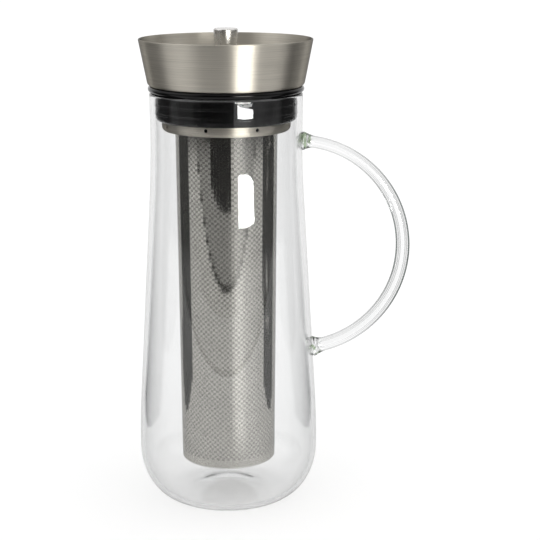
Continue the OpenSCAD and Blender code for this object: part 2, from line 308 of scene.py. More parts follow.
# %% [markdown]
# ## The pouring funnel
# The funnel is spun from one sheet: a flat floor, a bend and a wall that leans out. A Solidify
# modifier could thicken a single surface, but an outline of both faces also gives the rolled edge.
# It follows the outside up, goes round that edge, and comes back inside, one sheet apart.

# %% Sizes of the lid
funnel_low, funnel_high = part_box("pour_funnel")
funnel_z = funnel_low.z / MM
rim_z = funnel_high.z / MM
rim_r = 46.9
flange_r = 42.1
collar_r = 31.7
funnel_bend = 2.2
funnel_sheet = 1
FIT = 0.1


def cup_outline(hole_r, low_r, z, top_r, top_z, bend, sheet):
    lean = math.atan2(top_r - low_r, top_z - z)
    centre = (low_r - bend * (1 - math.sin(lean)) / math.cos(lean), z + bend)
    edge = (top_r - sheet / 2 / math.cos(lean) - sheet / 2 * math.tan(lean), top_z - sheet / 2)
    tilt = math.degrees(lean)
    outline = [(hole_r, z)] + arc(centre, bend, bend, -90, -tilt)
    outline += arc(edge, sheet / 2, sheet / 2, -tilt, 180 - tilt)
    outline += arc(centre, bend - sheet, bend - sheet, -tilt, -90)
    return outline + [(hole_r, z + sheet), (hole_r, z)]


# %% Turn the funnel
funnel_outline = cup_outline(collar_r + FIT, flange_r, funnel_z, rim_r, rim_z, funnel_bend, funnel_sheet)
funnel = smooth(turned("funnel_steel", funnel_outline), 40)
stand_for(funnel, "pour_funnel", "lid")

# %% [markdown]
# ## The silicone seal
# The seal is a soft moulding: a round bead that lies on the glass rim, and a plug with two lips
# inside the neck. A groove in its underside grips the filter. Moulded silicone has no sharp corner.
# A Bevel modifier would round all corners alike, so the ones that show are arcs of their own size.

# %% Sizes of the seal
seal_low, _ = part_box("neck_seal")
plug_z = seal_low.z / MM
flange_z = glass_h + 0.2
bead = (funnel_z - flange_z) / 2
plug_r = 38.3
plug_round = 3.2
under_round = 0.6
lip_h = 0.4
LIP_PLACES = (0.32, 0.62)
lips = [plug_z + share * (glass_h - plug_z) for share in LIP_PLACES]
hanger_r = 34.8
groove_in_r = hanger_r - 1
groove_out_r = hanger_r + 0.2
groove_top = plug_z + 8
print("lips of the seal at", [round(z, 1) for z in lips], "mm")

# %% Turn the seal
seal_outline = [(collar_r + FIT, plug_z), (groove_in_r, plug_z), (groove_in_r, groove_top)]
seal_outline += [(groove_out_r, groove_top), (groove_out_r, plug_z)]
seal_outline += arc((plug_r - plug_round, plug_z + plug_round), plug_round, plug_round, -90, 0)
for lip_z in lips:
    seal_outline += arc((plug_r, lip_z), lip_h, 2 * lip_h, -90, 90)
seal_outline += arc((plug_r + under_round, flange_z - under_round), under_round, under_round, 180, 90, 6)
seal_outline += arc((flange_r - bead, flange_z + bead), bead, bead, -90, 90)
seal_outline += [(collar_r + FIT, funnel_z), (collar_r + FIT, plug_z)]
seal = smooth(turned("seal_silicone", seal_outline), 40)
stand_for(seal, "neck_seal", "lid")

# %% [markdown]
# ## The filter hanger
# A shallow drawn cup hangs in the groove of the seal. It is turned like the funnel. Eight small
# holes let the brew out: eight cylinders are joined to one cutter, and a Boolean modifier drills.
# Holes drawn in the material would look flat from the side, so they are cut.

# %% Turn the hanger
hanger_low, hanger_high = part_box("filter_hanger")
hanger_z = hanger_low.z / MM
hanger_top = hanger_high.z / MM
filter_top_r = 27.7
filter_low_r = 26.2
hanger_sheet = 0.8
hanger_bend = 2.5
hanger_outline = cup_outline(
    filter_top_r + FIT, hanger_r, hanger_z, hanger_r, hanger_top, hanger_bend, hanger_sheet
)
hanger = turned("hanger_steel", hanger_outline)

# %% Drill the pouring holes
HOLES = 8
FIRST_HOLE = -61
drill_r = 1.05
drill_len = 4
hole_z = plug_z - 1.7
bpy.ops.object.select_all(action="DESELECT")
drills = []
for i in range(HOLES):
    turn = math.radians(FIRST_HOLE + 360 * i / HOLES)
    place = (hanger_r * MM * math.cos(turn), hanger_r * MM * math.sin(turn), hole_z * MM)
    bpy.ops.mesh.primitive_cylinder_add(
        vertices=24,
        radius=drill_r * MM,
        depth=drill_len * MM,
        location=place,
        rotation=(0, math.pi / 2, turn),
    )
    drills.append(bpy.context.object)
for drill in drills:
    drill.select_set(True)
bpy.ops.object.join()
cutter = bpy.context.object
bpy.ops.object.select_all(action="DESELECT")
bpy.context.view_layer.objects.active = hanger
hanger.select_set(True)
bpy.ops.object.modifier_add(type="BOOLEAN")
hanger.modifiers["Boolean"].object = cutter
bpy.ops.object.modifier_apply(modifier="Boolean")
bpy.data.objects.remove(cutter)
smooth(hanger, 35)
stand_for(hanger, "filter_hanger", "filter")

# %% [markdown]
# ## The filter tube
# The filter is a long, slightly tapered tube of thin sheet with a checker of finely perforated
# squares. Two circles are bridged with many cuts, which gives a tube of even cells that tapers by
# itself. Every second cell is then picked and inset a little way inwards. The holes themselves are
# far too many to cut, so they are left to the material.

# %% Bridge the perforated part
COLUMNS = 112
ROWS = 128
screen_low, screen_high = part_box("filter_screen")
screen_z = screen_low.z / MM
checker_low = screen_z + 4.2
checker_high = hanger_z - 1.2


def screen_r(z):
    return filter_low_r + (filter_top_r - filter_low_r) * (z - screen_z) / (hanger_z - screen_z)


bpy.ops.object.select_all(action="DESELECT")
bpy.ops.mesh.primitive_circle_add(vertices=COLUMNS, radius=screen_r(checker_low) * MM)
screen = bpy.context.object
screen.name = screen.data.name = "screen_sheet"
bpy.ops.object.mode_set(mode="EDIT")
bpy.ops.transform.translate(value=(0, 0, checker_low * MM))
bpy.ops.mesh.select_all(action="DESELECT")
bpy.ops.mesh.primitive_circle_add(vertices=COLUMNS, radius=screen_r(checker_high) * MM)
bpy.ops.transform.translate(value=(0, 0, checker_high * MM))
bpy.ops.mesh.select_all(action="SELECT")
bpy.ops.mesh.bridge_edge_loops(number_cuts=ROWS - 1, interpolation="LINEAR")
bpy.ops.mesh.select_all(action="SELECT")
bpy.ops.mesh.normals_make_consistent(inside=False)
bpy.ops.object.mode_set(mode="OBJECT")
print("cells in the tube:", len(screen.data.polygons))

# %% Pick every second cell and press it in
row_h = (checker_high - checker_low) / ROWS
press_inset = 0.02
press_depth = 0.01
bpy.ops.object.mode_set(mode="EDIT")
bpy.ops.mesh.select_mode(type="FACE")
bpy.ops.mesh.select_all(action="DESELECT")
bpy.ops.object.mode_set(mode="OBJECT")
for cell in screen.data.polygons:
    column = math.floor(math.atan2(cell.center.y, cell.center.x) / math.tau * COLUMNS)
    row = math.floor((cell.center.z / MM - checker_low) / row_h)
    cell.select = (column + row) % 2 == 0
bpy.ops.object.mode_set(mode="EDIT")
bpy.ops.mesh.inset(thickness=press_inset * MM, depth=-press_depth * MM, use_individual=True)
bpy.ops.object.mode_set(mode="OBJECT")
pressed = [cell.index for cell in screen.data.polygons if cell.select]
perforated = screen.data.attributes.new("perforated", "FLOAT", "FACE")
for index in pressed:
    perforated.data[index].value = 1.0
print("perforated squares:", len(pressed))

# %% [markdown]
# The rest of the tube is plain: a band at the bottom, a flared rim at the top that rests in the
# hanger, and the inside. It is turned with the same number of steps, joined, and merged where the
# points meet, so that the sheet is one closed solid.

# %% Add the plain band, the rim and the inside
sheet = 0.5
flare_r = filter_top_r + 2.2
flare_z = screen_high.z / MM - sheet
inner_top_r = filter_top_r - sheet
plain_outline = [(screen_r(checker_high), checker_high), (filter_top_r, hanger_z), (filter_top_r, flare_z)]
plain_outline += [(flare_r, flare_z), (flare_r, flare_z + sheet), (inner_top_r, flare_z + sheet)]
plain_outline += [(inner_top_r, hanger_z), (filter_low_r - sheet, screen_z), (filter_low_r, screen_z)]
plain_outline += [(screen_r(checker_low), checker_low)]
plain = turned("screen_plain", plain_outline, steps=COLUMNS)
bpy.ops.object.select_all(action="DESELECT")
plain.select_set(True)
screen.select_set(True)
bpy.context.view_layer.objects.active = screen
bpy.ops.object.join()
bpy.ops.object.mode_set(mode="EDIT")
bpy.ops.mesh.select_all(action="SELECT")
bpy.ops.mesh.remove_doubles(threshold=0.01 * MM)
bpy.ops.mesh.normals_make_consistent(inside=False)
bpy.ops.object.mode_set(mode="OBJECT")
smooth(screen, 10)
stand_for(screen, "filter_screen", "filter")

# %% [markdown]
# ## The base of the filter
# A small pressed cup closes the tube from below. Its spigot stands inside the plain band. It is
# turned with as many steps as the tube, so that the facets of both line up.

# %% Turn the base
base_low, base_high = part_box("filter_base")
base_z = base_low.z / MM
base_top = base_high.z / MM
base_t = 0.8
base_round = 0.5
spigot_r = filter_low_r - sheet - FIT
base_outline = [(0, base_z)]
base_outline += arc((filter_low_r - base_round, base_z + base_round), base_round, base_round, -90, 0)
base_outline += [(filter_low_r, screen_z), (spigot_r, screen_z), (spigot_r, base_top)]
base_outline += [(spigot_r - base_t, base_top), (spigot_r - base_t, screen_z), (0, screen_z)]
base = smooth(turned("base_steel", base_outline, steps=COLUMNS), 35)
stand_for(base, "filter_base", "filter")

# %% [markdown]
# ## The stopper plate and its knob
# A pressed plate covers the throat of the funnel, and a turned knob on the axis lifts it. The knob
# widens towards its rounded top. Both are turned on the lathe helper. The gasket, disc, washer and
# screw below stay as the CAD has them, because they are hidden and their shape is right.

# %% Turn the plate
plate_low, plate_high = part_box("stopper_plate")
plate_z = plate_low.z / MM
plate_top = plate_high.z / MM
plate_r = plate_high.x / MM
plate_t = 1
screw_hole_r = 2.6
edge_round = 0.2
plate_outline = [(screw_hole_r, plate_top - plate_t), (plate_r - plate_t, plate_top - plate_t)]
plate_outline += [(plate_r - plate_t, plate_z)]
plate_outline += arc((plate_r - edge_round, plate_z + edge_round), edge_round, edge_round, -90, 0, 4)
plate_outline += arc((plate_r - plate_t, plate_top - plate_t), plate_t, plate_t, 0, 90)
plate_outline += [(screw_hole_r, plate_top), (screw_hole_r, plate_top - plate_t)]
plate = smooth(turned("plate_steel", plate_outline), 40)
stand_for(plate, "stopper_plate", "stopper")

# %% Turn the knob
knob_low, knob_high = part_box("stopper_knob")
knob_z = knob_low.z / MM
knob_top = knob_high.z / MM
knob_r = knob_high.x / MM
knob_foot_r = 5.4
knob_round = 1
thread_top = knob_z + 11.5
knob_outline = [(screw_hole_r, knob_z)]
knob_outline += arc((knob_foot_r - edge_round, knob_z + edge_round), edge_round, edge_round, -90, 0, 4)
knob_outline += arc((knob_r - knob_round, knob_top - knob_round), knob_round, knob_round, 0, 90)
knob_outline += [(0, knob_top), (0, thread_top), (screw_hole_r, thread_top), (screw_hole_r, knob_z)]
knob = smooth(turned("knob_steel", knob_outline, steps=64), 40)
stand_for(knob, "stopper_knob", "stopper")

# %% [markdown]
# ## Shared effects for the materials
# Brushed and turned steel share one effect: fine streaks that run round the axis. A node group
# makes them from Object coordinates, by stretching noise far more across the streaks than along
# them. It gives only a value from 0 to 1, which each material uses in its own way.

# %% Streak group
def add(tree, kind, **settings):
    node = tree.nodes.new(kind)
    for name, value in settings.items():
        setattr(node, name, value)
    return node


def new_group(name, inputs, outputs):
    group = bpy.data.node_groups.new(name, "ShaderNodeTree")
    for socket, kind in inputs:
        group.interface.new_socket(socket, in_out="INPUT", socket_type=kind)
    for socket, kind in outputs:
        group.interface.new_socket(socket, in_out="OUTPUT", socket_type=kind)
    return group, add(group, "NodeGroupInput"), add(group, "NodeGroupOutput")


streaks, given, result = new_group(
    "streaks_round_axis",
    [("Point", "NodeSocketVector"), ("Along", "NodeSocketFloat"), ("Across", "NodeSocketFloat")],
    [("Streaks", "NodeSocketFloat")],
)
parts = add(streaks, "ShaderNodeSeparateXYZ")
flat = add(streaks, "ShaderNodeCombineXYZ")
radius = add(streaks, "ShaderNodeVectorMath", operation="LENGTH")
slant = add(streaks, "ShaderNodeMath", operation="ADD")
across = add(streaks, "ShaderNodeMath", operation="MULTIPLY")
stretched = add(streaks, "ShaderNodeVectorMath", operation="SCALE")
joined = add(streaks, "ShaderNodeSeparateXYZ")
place = add(streaks, "ShaderNodeCombineXYZ")
streak_noise = add(streaks, "ShaderNodeTexNoise")
streak_noise.inputs["Scale"].default_value = 1.0
streak_noise.inputs["Detail"].default_value = 4.0
streak_noise.inputs["Roughness"].default_value = 0.65
for source, target in (
    (given.outputs["Point"], parts.inputs[0]),
    (parts.outputs["X"], flat.inputs["X"]),
    (parts.outputs["Y"], flat.inputs["Y"]),
    (flat.outputs[0], radius.inputs[0]),
    (radius.outputs["Value"], slant.inputs[0]),
    (parts.outputs["Z"], slant.inputs[1]),
    (slant.outputs[0], across.inputs[0]),
    (given.outputs["Across"], across.inputs[1]),
    (flat.outputs[0], stretched.inputs[0]),
    (given.outputs["Along"], stretched.inputs["Scale"]),
    (stretched.outputs[0], joined.inputs[0]),
    (joined.outputs["X"], place.inputs["X"]),
    (joined.outputs["Y"], place.inputs["Y"]),
    (across.outputs[0], place.inputs["Z"]),
    (place.outputs[0], streak_noise.inputs["Vector"]),
    (streak_noise.outputs["Fac"], result.inputs["Streaks"]),
):
    streaks.links.new(source, target)
print(streaks.name, "has", len(streaks.nodes), "nodes")

# %% [markdown]
# The second shared effect is handling: soft, cloudy patches where fingers and cloths have touched
# a surface. Two noises of different size are multiplied, and the group again gives a value only.

# %% Handling group
handling, given, result = new_group(
    "handling_marks",
    [("Point", "NodeSocketVector"), ("Size", "NodeSocketFloat")],
    [("Marks", "NodeSocketFloat")],
)
cloudy = add(handling, "ShaderNodeTexNoise")
cloudy.inputs["Detail"].default_value = 3.0
fine = add(handling, "ShaderNodeTexNoise")
fine.inputs["Detail"].default_value = 2.0
finer = add(handling, "ShaderNodeMath", operation="MULTIPLY")
finer.inputs[1].default_value = 5.0
both = add(handling, "ShaderNodeMath", operation="MULTIPLY")
spread = add(handling, "ShaderNodeMapRange")
spread.inputs["From Min"].default_value = 0.12
spread.inputs["From Max"].default_value = 0.4
for source, target in (
    (given.outputs["Point"], cloudy.inputs["Vector"]),
    (given.outputs["Point"], fine.inputs["Vector"]),
    (given.outputs["Size"], cloudy.inputs["Scale"]),
    (given.outputs["Size"], finer.inputs[0]),
    (finer.outputs[0], fine.inputs["Scale"]),
    (cloudy.outputs["Fac"], both.inputs[0]),
    (fine.outputs["Fac"], both.inputs[1]),
    (both.outputs[0], spread.inputs["Value"]),
    (spread.outputs["Result"], result.inputs["Marks"]),
):
    handling.links.new(source, target)
print(handling.name, "has", len(handling.nodes), "nodes")

# %% [markdown]
# ## Materials
# Each material starts from the same few lines: a Principled shader and the Object coordinates.
# Fixed values are set on the shader itself. Nodes are used only for what varies over the surface.

# %% Material helpers
def new_material(name, **fixed):
    material = bpy.data.materials.new(name)
    material.use_nodes = True
    tree = material.node_tree
    shader = tree.nodes["Principled BSDF"]
    for socket, value in fixed.items():
        shader.inputs[socket.replace("_", " ")].default_value = value
    point = add(tree, "ShaderNodeTexCoord").outputs["Object"]
    print("material", name)
    return material, tree, shader, point


def use_group(tree, group, point, **fixed):
    node = add(tree, "ShaderNodeGroup", node_tree=group)
    tree.links.new(point, node.inputs["Point"])
    for socket, value in fixed.items():
        node.inputs[socket].default_value = value
    return node.outputs[0]


def bump(tree, shader, height, distance, strength):
    node = add(tree, "ShaderNodeBump")
    node.inputs["Strength"].default_value = strength
    node.inputs["Distance"].default_value = distance
    tree.links.new(height, node.inputs["Height"])
    tree.links.new(node.outputs["Normal"], shader.inputs["Normal"])


# %% [markdown]
# The next helpers each add one node, link it, and hand back its output. Written this way a
# material reads as a few lines of sums, where the node editor would show a web of boxes.

# %% Helpers for values
def split(tree, point):
    node = add(tree, "ShaderNodeSeparateXYZ")
    tree.links.new(point, node.inputs[0])
    return node.outputs


def noise(tree, point, scale, detail=2.0):
    node = add(tree, "ShaderNodeTexNoise")
    node.inputs["Scale"].default_value = scale
    node.inputs["Detail"].default_value = detail
    tree.links.new(point, node.inputs["Vector"])
    return node.outputs["Fac"]


def calc(tree, operation, *values, **settings):
    node = add(tree, "ShaderNodeMath", operation=operation, **settings)
    for socket, value in zip(node.inputs, values):
        if isinstance(value, bpy.types.NodeSocket):
            tree.links.new(value, socket)
        else:
            socket.default_value = value
    return node.outputs[0]


def mapped(tree, value, low=0.0, high=1.0, start=0.0, end=1.0):
    node = add(tree, "ShaderNodeMapRange")
    node.inputs["From Min"].default_value = start
    node.inputs["From Max"].default_value = end
    node.inputs["To Min"].default_value = low
    node.inputs["To Max"].default_value = high
    tree.links.new(value, node.inputs["Value"])
    return node.outputs["Result"]


# %% Helpers for colours
def mixed(tree, value, low, high):
    node = add(tree, "ShaderNodeMix", data_type="RGBA")
    node.inputs["A"].default_value = (*low, 1)
    node.inputs["B"].default_value = (*high, 1)
    tree.links.new(value, node.inputs["Factor"])
    return node.outputs["Result"]


def covered(tree, under, colour, factor):
    node = add(tree, "ShaderNodeMix", data_type="RGBA")
    node.inputs["B"].default_value = (*colour, 1)
    tree.links.new(under, node.inputs["A"])
    tree.links.new(factor, node.inputs["Factor"])
    return node.outputs["Result"]


def ramp(tree, value, stops, interpolation="LINEAR"):
    node = add(tree, "ShaderNodeValToRGB")
    node.color_ramp.interpolation = interpolation
    for i, (place, light) in enumerate(stops):
        stop = node.color_ramp.elements[i] if i < 2 else node.color_ramp.elements.new(place)
        stop.position = place
        stop.color = (light, light, light, 1)
    tree.links.new(value, node.inputs["Fac"])
    return node.outputs["Color"]


# %% [markdown]
# Clear glass lets nearly all light through. Blown glass is a little uneven, so its normals are bumped
# by a slow, faint noise, and its tint wanders slightly between clear and grey. The jug and the rod
# get painted shade at their edges, for the dark surroundings that the glass bends into view there.
# The Facing output of a Layer Weight node is 0 where the surface faces the eye and 1 at its edge, so it
# gives both.

# %% Clear glass
def clear_glass(name):
    material, tree, shader, point = new_material(name, Transmission_Weight=1.0, Roughness=0.0, IOR=1.47)
    bump(tree, shader, noise(tree, point, scale=22.0, detail=1.0), distance=0.2 * MM, strength=0.2)
    clouds = use_group(tree, handling, point, Size=9.0)
    clear = mixed(tree, clouds, low=(0.922, 0.925, 0.926), high=(0.938, 0.939, 0.939))
    facing = add(tree, "ShaderNodeLayerWeight").outputs["Facing"]
    return material, tree, shader, point, clear, facing


# %% Glass of the jug, with painted shade at its edges towards the heel
HEEL_FROM = 170 * MM
HEEL_FULL = 60 * MM
# The grey is painted shade: the dark surroundings that the glass bends into view at its edges.
HEEL_PAINTED_SHADE = (0.45, 0.46, 0.465)
glass, tree, shader, point, clear, facing = clear_glass("clear_blown_glass")
edges = mapped(tree, facing, start=0.3, end=1.2)
heel = mapped(tree, split(tree, point)["Z"], start=HEEL_FROM, end=HEEL_FULL)
painted_heel_shade = calc(tree, "MULTIPLY", edges, heel)
tree.links.new(covered(tree, clear, HEEL_PAINTED_SHADE, painted_heel_shade), shader.inputs["Base Color"])

# %% [markdown]
# A solid rod bends light so strongly that it shows dark edges, and a thin dark line on each side
# of its middle. A ramp over the facing value draws both, fainter where the rod runs back to the
# wall. At its welds the rod looks patchy and green: the weld attribute gives the place, and a fine
# noise gives the patches.

# %% Lines in the rod
ROD_LINES = [
    (0.0, 0.0), (0.05, 0.0), (0.078, 0.75), (0.09, 0.75),
    (0.115, 0.0), (0.27, 0.05), (0.36, 0.75), (0.5, 1.0),
]
ROD_DARK = (0.02, 0.028, 0.025)
UPRIGHT_FROM = 64 * MM
UPRIGHT_FULL = 92 * MM
rod_glass, tree, shader, point, clear, facing = clear_glass("clear_rod_glass")
lines = ramp(tree, facing, ROD_LINES)
upright = mapped(tree, split(tree, point)["X"], low=0.5, start=UPRIGHT_FROM, end=UPRIGHT_FULL)
lined = covered(tree, clear, ROD_DARK, calc(tree, "MULTIPLY", lines, upright))

# %% Green welds of the rod
WELD_GREEN = (0.13, 0.19, 0.1)
near_weld = add(tree, "ShaderNodeAttribute", attribute_name="welded").outputs["Fac"]
at_weld = mapped(tree, near_weld, high=1.6, start=0.35, end=0.6)
patchy = mapped(tree, noise(tree, point, scale=320.0), start=0.45, end=0.6)
weld_spots = calc(tree, "MULTIPLY", at_weld, patchy, use_clamp=True)
tree.links.new(covered(tree, lined, WELD_GREEN, weld_spots), shader.inputs["Base Color"])
print("the rod's glass has", len(tree.nodes), "nodes")

# %% [markdown]
# Brushed steel blurs a reflection across its streaks far more than along them. An anisotropic
# shader does this: the radial tangent runs round the axis, and a quarter turn blurs up and down.
# Bump alone would need streaks finer than a pixel, so it only adds the grain that can be seen.

# %% Brushed steel
brushed, tree, shader, point = new_material(
    "steel_brushed_round", Metallic=1.0, Anisotropic=1.0, Anisotropic_Rotation=0.25
)
tangent = add(tree, "ShaderNodeTangent", direction_type="RADIAL", axis="Z")
tree.links.new(tangent.outputs[0], shader.inputs["Tangent"])
shader.inputs["Specular Tint"].default_value = (0.3, 0.3, 0.3, 1)
lines = use_group(tree, streaks, point, Along=24.0, Across=1700.0)
marks = use_group(tree, handling, point, Size=35.0)
steel_colour = mixed(tree, lines, low=(0.42, 0.395, 0.345), high=(0.78, 0.737, 0.652))
tree.links.new(steel_colour, shader.inputs["Base Color"])
tree.links.new(mapped(tree, marks, low=0.43, high=0.48), shader.inputs["Roughness"])
bump(tree, shader, lines, distance=0.02 * MM, strength=0.35)

# %% [markdown]
# Polished steel has the same streaks, but fine and almost gone. They hardly bump it, and handling
# marks make it a little duller in patches.

# %% Polished steel
polished, tree, shader, point = new_material("steel_polished", Metallic=1.0)
lines = use_group(tree, streaks, point, Along=20.0, Across=2600.0)
marks = use_group(tree, handling, point, Size=60.0)
steel_colour = mixed(tree, lines, low=(0.6, 0.59, 0.57), high=(0.68, 0.67, 0.65))
tree.links.new(steel_colour, shader.inputs["Base Color"])
tree.links.new(mapped(tree, marks, low=0.22, high=0.3), shader.inputs["Roughness"])
bump(tree, shader, lines, distance=0.01 * MM, strength=0.03)

# %% [markdown]
# The filter sheet is polished between the squares. Each square holds a grid of holes that are finer
# than a hair, so it looks darker and duller. The squares come from the attribute that was set on
# the pressed cells, and a fine grid of dots within them from the angle and the height.

# %% Dots of the filter sheet
DOTS = 4
DOT_EDGE = 0.3
sheet_steel, tree, shader, point = new_material("sheet_perforated", Metallic=1.0)
shader.inputs["Specular Tint"].default_value = (0.65, 0.65, 0.65, 1)
side = split(tree, point)
angle = calc(tree, "ARCTAN2", side["Y"], side["X"])
round_dots = calc(tree, "MULTIPLY", angle, COLUMNS * DOTS / 2)
above_foot = calc(tree, "SUBTRACT", side["Z"], checker_low * MM)
up_dots = calc(tree, "MULTIPLY", above_foot, DOTS * math.pi / (row_h * MM))
dots = calc(tree, "MULTIPLY", calc(tree, "SINE", round_dots), calc(tree, "SINE", up_dots))
dots = calc(tree, "MULTIPLY", dots, dots)
holes = calc(tree, "GREATER_THAN", dots, DOT_EDGE)

# %% Colour and shine of the filter sheet
HOLE_DARK = (0.08, 0.078, 0.075)
squares = add(tree, "ShaderNodeAttribute", attribute_name="perforated").outputs["Fac"]
pierced = calc(tree, "MULTIPLY", mapped(tree, holes, low=0.28, high=0.58), squares)
marks = use_group(tree, handling, point, Size=45.0)
plain_colour = mixed(tree, marks, low=(0.462, 0.45, 0.415), high=(0.506, 0.493, 0.455))
tree.links.new(covered(tree, plain_colour, HOLE_DARK, pierced), shader.inputs["Base Color"])
tree.links.new(mapped(tree, squares, low=0.03, high=0.08), shader.inputs["Roughness"])
bump(tree, shader, pierced, distance=-0.03 * MM, strength=0.02)
print(DOTS * DOTS, "dots in each of", len(pressed), "squares")

# %% [markdown]
# Silicone is black and smooth with a soft shine. Handling marks change its shine, and a very fine
# grain from the mould breaks up the highlight.

# %% Silicone
silicone, tree, shader, point = new_material("black_silicone", IOR=1.43, Specular_IOR_Level=0.25)
marks = use_group(tree, handling, point, Size=50.0)
black = mixed(tree, marks, low=(0.0005, 0.0005, 0.00055), high=(0.0014, 0.0014, 0.0015))
tree.links.new(black, shader.inputs["Base Color"])
tree.links.new(mapped(tree, marks, low=0.1, high=0.18), shader.inputs["Roughness"])
bump(tree, shader, noise(tree, point, scale=2500.0), distance=0.01 * MM, strength=0.15)

# %% [markdown]
# The new pieces and the CAD nodes that stay now get their materials. A node keeps its mesh, and
# only what is in its material slots is changed.

# %% Give every piece its material
steel_nodes = [nodes[n] for n in ("throat_collar", "clamp_disc", "knob_washer", "knob_screw")]
wearing = {
    glass: [jug],
    rod_glass: [handle],
    brushed: [funnel, hanger, plate],
    polished: [base, knob] + steel_nodes,
    sheet_steel: [screen],
    silicone: [seal, nodes["stopper_gasket"]],
}
for material, pieces in wearing.items():
    for piece in pieces:
        piece.data.materials.clear()
        piece.data.materials.append(material)
    print(material.name, "on", [piece.name for piece in pieces])

# %% [markdown]
# Clear glass throws hardly any shadow. Hidden from the rays that light the floor, the jug and the
# handle leave it as bright as it is beside them, and the heel of the jug shows no false dark edge.

# %% Let light pass the glass
for piece in (jug, handle):
    piece.visible_diffuse = False
    piece.visible_shadow = False
    print(piece.name, "throws no shadow")

# %% [markdown]
# ## The studio
# The carafe stands on a pale floor before a white sky. Glass and polished steel show whatever is
# round them, and an all-white studio would leave them flat. Cards and flags could stand all round,
# but they would also show through the glass. So the floor and the sky have a second face that
# mirrored rays alone can see, with light and dark parts that draw the bands on the steel.

# %% Floor
FLOOR_SIZE = 30
bpy.ops.object.select_all(action="DESELECT")
bpy.ops.mesh.primitive_plane_add(size=FLOOR_SIZE)
floor = bpy.context.object
floor.name = "floor"
floor_paint, tree, shader, point = new_material("pale_floor", Roughness=0.5, Specular_IOR_Level=0.0)
floor.data.materials.append(floor_paint)
side = split(tree, point)
length = add(tree, "ShaderNodeVectorMath", operation="LENGTH")
tree.links.new(point, length.inputs[0])
away = length.outputs["Value"]

# %% [markdown]
# From the jug towards the camera the mirrored floor has three strips: pale, narrow and dark, then
# grey. A ramp with constant steps gives them sharp ends.

# %% Strips in front
STRIPS = [(0, 0.8), (0.47, 0.05), (0.5, 0.44)]
STRIPS_END = 1.28
forward = mapped(tree, side["Y"], end=-STRIPS_END)
strips = ramp(tree, forward, [(start / STRIPS_END, light) for start, light in STRIPS], "CONSTANT")
print("strips of floor in front:", len(STRIPS))

# %% [markdown]
# Two dark panels lie to the left and right of the jug and a little behind it. Each is a sector
# with a rounded near end. The filter shows them as a dark stripe down each side, and the glass as
# thin dark lines beside its edges.

# %% Dark panels at both sides
PANEL_FROM = 0.162
PANEL_ROUNDING = 0.07
PANEL_FRONT = 0.01
PANEL_BACK = 0.9
aside = calc(tree, "ABSOLUTE", side["X"])
turn_back = calc(tree, "DIVIDE", side["Y"], aside)
off_middle = calc(tree, "SUBTRACT", turn_back, (PANEL_FRONT + PANEL_BACK) / 2)
off_middle = calc(tree, "MULTIPLY", off_middle, 2 / (PANEL_BACK - PANEL_FRONT))
off_middle = calc(tree, "MULTIPLY", off_middle, off_middle)
near_end = calc(tree, "ADD", calc(tree, "MULTIPLY", off_middle, PANEL_ROUNDING), PANEL_FROM)
beside = calc(tree, "GREATER_THAN", away, near_end)
between = calc(tree, "LESS_THAN", off_middle, 1.0)
at_sides = calc(tree, "MULTIPLY", beside, between)
print("panels start", round(PANEL_FROM / MM), "mm from the axis")

# %% [markdown]
# Far out the mirrored floor fades to dark, and in front it then turns fully dark at a sharp edge.
# The seal mirrors this part, and it would look grey without it.

# %% Dark far out
FAR_SPREAD = -0.9
FADE_FROM = 1.08
FADE_FULL = 1.35
FADE = 0.8
FADE_BACK = 0.1
FLOOR_DARK = (0.05, 0.05, 0.05)
too_far = calc(tree, "GREATER_THAN", away, STRIPS_END)
in_front = calc(tree, "LESS_THAN", side["Y"], calc(tree, "MULTIPLY", aside, FAR_SPREAD))
beyond = calc(tree, "MULTIPLY", too_far, in_front)
fading = mapped(tree, away, high=FADE, start=FADE_FROM, end=FADE_FULL)
not_behind = calc(tree, "LESS_THAN", side["Y"], FADE_BACK)
beyond = calc(tree, "MAXIMUM", beyond, calc(tree, "MULTIPLY", fading, not_behind))
mirrored_floor = covered(tree, strips, FLOOR_DARK, calc(tree, "MAXIMUM", at_sides, beyond))
print("dark from", round(FADE_FROM / MM), "mm from the axis")

# %% [markdown]
# The Light Path node tells how a ray came. A ray that no mirror has turned, or that a dull surface
# has scattered, sees the plain pale floor. So the camera sees no panels, and they throw no colour.

# %% Plain for the camera
FLOOR_PALE = (0.92, 0.92, 0.92)


def not_mirrored(tree):
    path = add(tree, "ShaderNodeLightPath")
    straight = calc(tree, "LESS_THAN", path.outputs["Glossy Depth"], 0.5)
    return calc(tree, "ADD", straight, path.outputs["Diffuse Depth"])


plain_view = not_mirrored(tree)
tree.links.new(covered(tree, mirrored_floor, FLOOR_PALE, plain_view), shader.inputs["Base Color"])
print("the floor's paint has", len(tree.nodes), "nodes")

# %% [markdown]
# A soft pool of light is painted on the mirrored floor, in front and to the right: the floor glows
# there, with no lamp behind it. The filter shows it as a bright stripe from top to bottom. It is a ramp
# of light over the angle round the jug, so the stripe keeps its width, and it starts a little way out from
# the jug.

# %% Painted pool of light
POOL = [(0, 0.0), (8, 0.08), (17, 0.6), (31, 0.68), (46, 0.22), (75, 0.0)]
POOL_FROM = 0.09
POOL_FULL = 0.15
towards = calc(tree, "MULTIPLY", side["Y"], -1.0)
quarter = calc(tree, "MULTIPLY", calc(tree, "ARCTAN2", side["X"], towards), 2 / math.pi)
pool = ramp(tree, quarter, [(degrees / 90, light) for degrees, light in POOL])
near_jug = mapped(tree, away, start=POOL_FULL, end=POOL_FROM)
unlit = calc(tree, "MAXIMUM", plain_view, near_jug)
tree.links.new(covered(tree, pool, (0, 0, 0), unlit), shader.inputs["Emission Color"])
shader.inputs["Emission Strength"].default_value = 1.0
print("pool of light up to", POOL[-1][0], "degrees to the right")

# %% [markdown]
# The mirrored sky is a band of light and dark round the horizon. Its angle is measured from the
# camera's side, so that each stop of the ramp is a direction: 0 is towards the camera, and
# positive is to the right.

